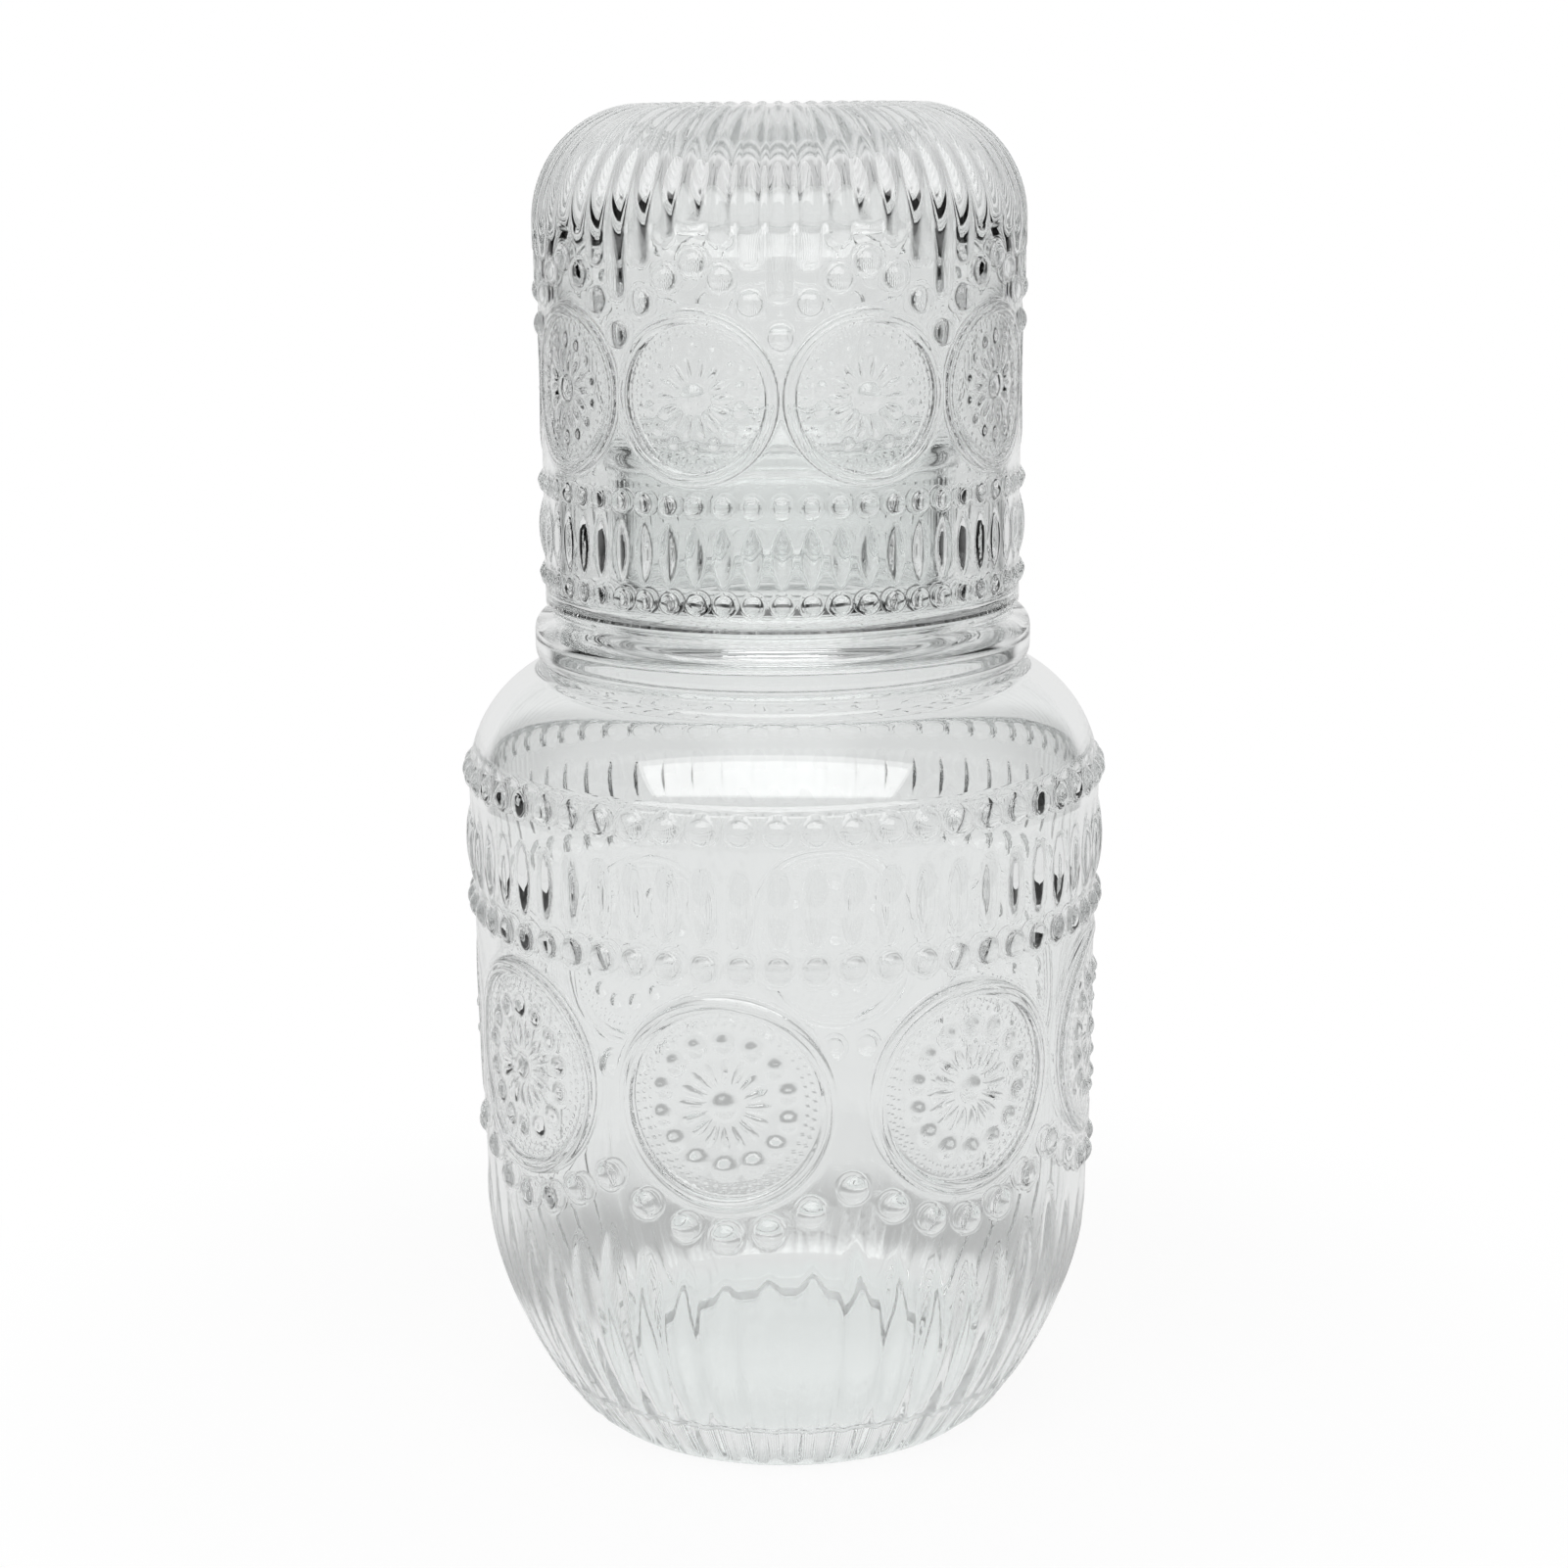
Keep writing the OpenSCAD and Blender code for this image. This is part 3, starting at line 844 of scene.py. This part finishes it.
@dataclass
class Tumbler:
    """The tumbler, upside down on the collar: patterned wall and fluted corner round a thick base."""

    columns: int = 648
    rim_z: float = 139.3
    wall_r: float = 39.3
    height: float = 81.1
    corner_r: float = 18.0
    wall_t: float = 2.6
    base_t: float = 9.0
    floor_gap: float = 0.5
    rim_margin: float = 0.6
    flutes_run: float = 3.0
    medallions: int = 9
    turn: float = 20.0
    medallion_z: float = 177.1
    medallion: Medallion = Medallion(
        radius=13.7, rim_w=2.4, rim_h=0.32, boss_r=2.1, boss_h=0.7,
        beads=14, bead_ring_r=7.7, bead_r=0.85, bead_h=0.4,
        petals=14, petal_ring_r=4.6, petal_half_w=0.6, petal_half_l=1.7, petal_h=0.25,
    )
    band: Band = Band(
        columns=54, turn=0.0, row_z=(145.2, 160.5), bead_r=1.6, bead_h=0.9,
        oval_z=(147.9, 157.7), oval_half_w=1.4, oval_h=0.85,
    )
    garland: Garland = Garland(
        count=54, medallions=9, turn=20.0, middle_z=197.6, swing=(-4.8, -6.5, 0.0), bead_r=2.25
    )
    garland_h: float = 1.1
    flute_gap: float = 5.2
    flute_share: float = 0.40
    flute_h: float = 0.9
    flute_full_w: float = 1.65
    flute_end_r: float = 24.0
    flute_end_share: float = 0.5

    def outline(self) -> Outline:
        """Draws the half section from the inner floor down the inside, round the rim and up the outside."""
        top = self.rim_z + self.height
        bow = (self.wall_r - self.corner_r, top - self.corner_r)
        inner_top = top - self.base_t
        inner = self.corner_r - self.wall_t
        rim = self.wall_t / 2
        draw = Outline(0.0, inner_top)
        draw.line(POLE_R, inner_top, PLAIN_STEP)
        draw.line(bow[0] - self.floor_gap, inner_top, PLAIN_STEP)
        draw.arc((bow[0], inner_top - inner), inner, 90, 0, 1.4)
        draw.line(self.wall_r - self.wall_t, self.rim_z + rim, 3.0)
        draw.arc((self.wall_r - rim, self.rim_z + rim), rim, -180, 0, 0.45)
        draw.mark("pattern")
        band = self.band
        for height, step in (
            (band.row_z[0] - band.bead_r - self.rim_margin, 1.4),
            (band.row_z[0] + band.bead_r, 0.42),
            (band.oval_z[0] + band.oval_tip, 0.6),
            (band.oval_z[1] - band.oval_tip, 1.1),
            (band.row_z[1] - band.bead_r, 0.6),
            (band.row_z[1] + band.bead_r, 0.42),
            (self.garland.middle_z + self.garland.bead_r, 0.52),
            (bow[1], 1.1),
        ):
            draw.line(self.wall_r, height, step)
        draw.arc(bow, self.corner_r, 0, 90, 1.5)
        draw.line(bow[0] - self.flutes_run, top, 1.5)
        draw.mark("plain")
        draw.line(POLE_R, top, PLAIN_STEP)
        draw.line(0.0, top, PLAIN_STEP)
        return draw

    def relief(self, points: Array) -> Array:
        """Height of the whole pattern for rows of the outline.

        Args:
            points: Radius and height of each patterned row.

        Returns:
            One row for each point and one column for each of the columns, the highest of the overlapping forms.
        """
        angle = np.arange(self.columns) * FULL_TURN / self.columns
        radius, z = points[:, :1], points[:, 1:]
        reach = math.pi / 180 * radius
        aside, _ = nearest(angle, self.medallions, self.turn)
        offset, _ = nearest(angle, self.band.columns, self.band.turn)
        _, bead_z = self.garland.places(angle)
        return np.maximum.reduce([
            self.band.relief(angle, reach, z),
            self.medallion.relief(aside * reach, z - self.medallion_z),
            cap(np.hypot(offset * reach, z - bead_z), self.garland.bead_r, self.garland_h),
            self.flutes(points, offset * reach, radius, bead_z),
        ])

    def flutes(self, points: Array, across: Array, radius: Array, bead_z: Array) -> Array:
        """Reeded flutes from above each garland bead over the corner to the top.

        A flute is a bar with round ends: the distance is counted from its middle line, along the outline's own
        length, and its half width is a share of the step between two columns.

        Args:
            points: Radius and height of each patterned row.
            across: Distance of each point from the nearest flute's middle line, along its ring.
            radius: Radius of each row.
            bead_z: Height of the garland bead under the nearest flute.

        Returns:
            The flutes' height above the wall.
        """
        run = np.concatenate([[0.0], np.cumsum(np.linalg.norm(np.diff(points, axis=0), axis=1))])
        run = (run + points[0, 1])[:, None]
        end = float(np.interp(-self.flute_end_r, -points[:, 0], run[:, 0]))
        width = self.flute_share * math.tau * radius / self.band.columns
        start = bead_z + self.flute_gap + width
        beyond = np.maximum(np.maximum(start - run, 0), np.maximum(run - end, 0) * self.flute_end_share)
        return cap(np.hypot(across, beyond), width, self.flute_h * np.minimum(width / self.flute_full_w, 1))

    def carving(self) -> Carving:
        """Fine carving: twin ridges, petals and dots in the medallions, and grooves round the beads."""
        return Carving(
            medallions=self.medallions,
            turn=self.turn,
            wall_r=self.wall_r,
            centre_z=self.medallion_z,
            ridges=(13.0, 11.8),
            ridge_half_w=0.5,
            ridge_h=0.15,
            dots=(
                DotRing(count=14, radius=4.6, half_width=0.5, half_length=1.7, height=0.14),
                DotRing(count=40, radius=9.9, half_width=0.36, half_length=0.36, height=0.08),
                DotRing(count=48, radius=10.9, half_width=0.32, half_length=0.32, height=0.07, share=0.5),
            ),
            bands=(self.garland, *self.band.rows(self.medallions)),
        )

    def build(self) -> bpy.types.Object:
        """Makes the shell and its glass."""
        outline = self.outline()
        points, _ = outline.rows()
        rows = points[outline.marks["pattern"]:outline.marks["plain"] + 1]
        shell = turned_shell("tumbler_shell", outline, self.columns, self.relief(rows))
        finish = PressedGlass("tumbler_glass", self.carving(), thick_from=-1.0, thick_to=-2.0)
        shell.data.materials.append(finish.material())
        return shell


@dataclass(frozen=True)
class Studio:
    """The camera, the pale floor and the soft light of the photograph."""

    camera_y: float = -0.5208
    camera_z: float = 0.2270
    camera_pitch: float = 0.22422
    camera_roll: float = -0.00811
    camera_lens: float = 72.61
    sensor_w: float = 36.0
    floor_r: float = 0.5
    floor_sides: int = 64
    floor_drop: float = 0.0002
    floor_grey: float = 0.92
    floor_glow: float = 0.9
    floor_white: float = 0.93
    floor_fade: tuple[float, float] = (80.0, 180.0)
    backdrop_level: float = 0.81
    backdrop_edges: tuple[float, float] = (36.0, 46.0)
    front_level: float = 0.22
    front_edges: tuple[float, float] = (135.0, 160.0)
    side_level: float = 0.12
    side_edges: tuple[float, float, float, float] = (70.0, 82.0, 98.0, 110.0)
    top_level: float = 0.6
    top_edges: tuple[float, float] = (0.4, 0.6)
    top_sides: tuple[float, float] = (0.4, 0.15)
    # Painted shadow: a ring round the object where the floor's glow, as seen through and on the glass, is dimmed.
    painted_shadow_ring: tuple[float, float, float, float] = (60.0, 75.0, 85.0, 125.0)
    painted_shadow_depth: float = 0.4
    lamp_place: tuple[float, float, float] = (-0.05, -0.65, 0.79)
    lamp_aim: tuple[float, float, float] = (0.0, 0.0, 0.12)
    lamp_size: tuple[float, float] = (1.7, 0.6)
    lamp_power: float = 10.0
    bounces: int = 24
    mirror_bounces: int = 20

    def camera(self) -> None:
        """Places the camera at the photograph's viewing angle."""
        data = bpy.data.cameras.new("camera")
        data.lens = self.camera_lens
        data.sensor_width = self.sensor_w
        made = bpy.data.objects.new("camera", data)
        turn = Matrix.Rotation(math.pi / 2 - self.camera_pitch, 4, "X") @ Matrix.Rotation(self.camera_roll, 4, "Z")
        made.matrix_world = Matrix.Translation((0.0, self.camera_y, self.camera_z)) @ turn
        bpy.context.collection.objects.link(made)
        bpy.context.scene.camera = made

    def floor(self) -> None:
        """Makes the floor: white to the camera, with the object's soft shadow, and pale through and on the glass.

        Near the object a small share of what the camera sees is the lit matte floor, which holds the shadow. Through
        the glass the floor is as light as the backdrop, apart from a painted shadow: a darker ring round the object.
        """
        turn = np.linspace(0, math.tau, self.floor_sides, endpoint=False)
        drop = np.full(self.floor_sides, -self.floor_drop / self.floor_r)
        edge = np.stack([np.sin(turn), -np.cos(turn), drop], axis=1) * self.floor_r
        mesh = bpy.data.meshes.new("floor")
        mesh.from_pydata(edge.tolist(), [], [tuple(range(self.floor_sides))])
        made = bpy.data.objects.new("floor", mesh)
        bpy.context.collection.objects.link(made)
        paint = bpy.data.materials.new("floor_paint")
        paint.use_nodes = True
        sheet = Sheet(paint.node_tree)
        path = sheet.node("ShaderNodeLightPath")
        camera, through, mirrored = (
            Value(sheet, path.outputs[name]) for name in ("Is Camera Ray", "Is Transmission Ray", "Is Glossy Ray")
        )
        x, y, _ = sheet.place()
        out = (x * x + y * y).math("SQRT")
        # Painted shadow: the glow that glossy and transmission rays see is dimmed in a ring round the object.
        start, full, fade, end = self.painted_shadow_ring
        painted_shadow = out.ease(start, full) * out.ease(end, fade) * self.painted_shadow_depth
        white = self.floor_white + (1 - self.floor_white) * out.ease(*self.floor_fade)
        share = camera * white + through.most(mirrored) * self.floor_glow
        matte = sheet.node("ShaderNodeBsdfDiffuse", None, {"Color": (*[self.floor_grey] * 3, 1.0)})
        strength = camera + (1 - camera) * (1 - painted_shadow) * self.backdrop_level
        glow = sheet.node("ShaderNodeEmission", None, {"Color": WHITE, "Strength": strength})
        mixed = sheet.node("ShaderNodeMixShader", None, {0: share, 1: matte.outputs[0], 2: glow.outputs[0]})
        sheet.node("ShaderNodeOutputMaterial", None, {"Surface": mixed.outputs[0]})
        mesh.materials.append(paint)

    def world(self) -> None:
        """Writes the world: white to the camera, and through and on the glass the studio that it stood in.

        The heading is the angle from straight behind the object. A pale backdrop fills the back, the room is dark
        apart from dim walls at each side and in front, and a strip of the ceiling over the object is lit.
        """
        world = bpy.data.worlds.new("studio")
        world.use_nodes = True
        bpy.context.scene.world = world
        sheet = Sheet(world.node_tree)
        coords = sheet.node("ShaderNodeTexCoord")
        split = sheet.node("ShaderNodeSeparateXYZ", None, {"Vector": coords.outputs["Generated"]})
        across, depth, up = (Value(sheet, split.outputs[axis]) for axis in "XYZ")
        heading = sheet.math("ARCTAN2", across, depth).math("ABSOLUTE") * math.degrees(1)
        backdrop = heading.ease(*self.backdrop_edges[::-1]) * self.backdrop_level
        front = heading.ease(*self.front_edges) * self.front_level
        rise, full, fall, end = self.side_edges
        sides = heading.ease(rise, full) * heading.ease(end, fall) * self.side_level
        level = backdrop + front + sides
        ceiling = up.ease(*self.top_edges) * across.math("ABSOLUTE").ease(*self.top_sides)
        level = level * (1 - ceiling) + ceiling * self.top_level
        path = sheet.node("ShaderNodeLightPath")
        seen = Value(sheet, path.outputs["Is Camera Ray"])
        level = level * (1 - seen) + seen
        sky = sheet.node("ShaderNodeBackground", None, {"Color": WHITE, "Strength": level})
        sheet.node("ShaderNodeOutputWorld", None, {"Surface": sky.outputs[0]})

    def softbox(self) -> None:
        """Hangs one wide lamp above the camera, in front of the object."""
        data = bpy.data.lights.new("softbox", "AREA")
        data.shape = "RECTANGLE"
        data.size, data.size_y = self.lamp_size
        data.energy = self.lamp_power
        made = bpy.data.objects.new("softbox", data)
        made.location = self.lamp_place
        made.rotation_euler = (Vector(self.lamp_aim) - made.location).to_track_quat("-Z", "Y").to_euler()
        bpy.context.collection.objects.link(made)

    def build(self) -> None:
        """Sets the whole studio."""
        self.camera()
        self.floor()
        self.world()
        self.softbox()
        scene = bpy.context.scene
        scene.view_settings.view_transform = "Standard"
        scene.cycles.max_bounces = self.bounces
        scene.cycles.transmission_bounces = self.bounces
        scene.cycles.glossy_bounces = self.mirror_bounces


def corners(box: tuple) -> list[list[float]]:
    """A box as plain lists of numbers."""
    return [[float(number) for number in corner] for corner in box]


def main() -> None:
    """Builds the studio and both vessels, and puts each on its body."""
    logging.basicConfig(level=logging.INFO, format="%(name)s: %(message)s")
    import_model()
    Studio().build()
    for piece, vessel in ((Piece.CARAFE, Carafe()), (Piece.TUMBLER, Tumbler())):
        shell = vessel.build()
        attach(shell, piece.value)
        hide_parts(piece.value)
        log.info("%s: %d faces", shell.name, len(shell.data.polygons))


if __name__ == "__main__":
    main()
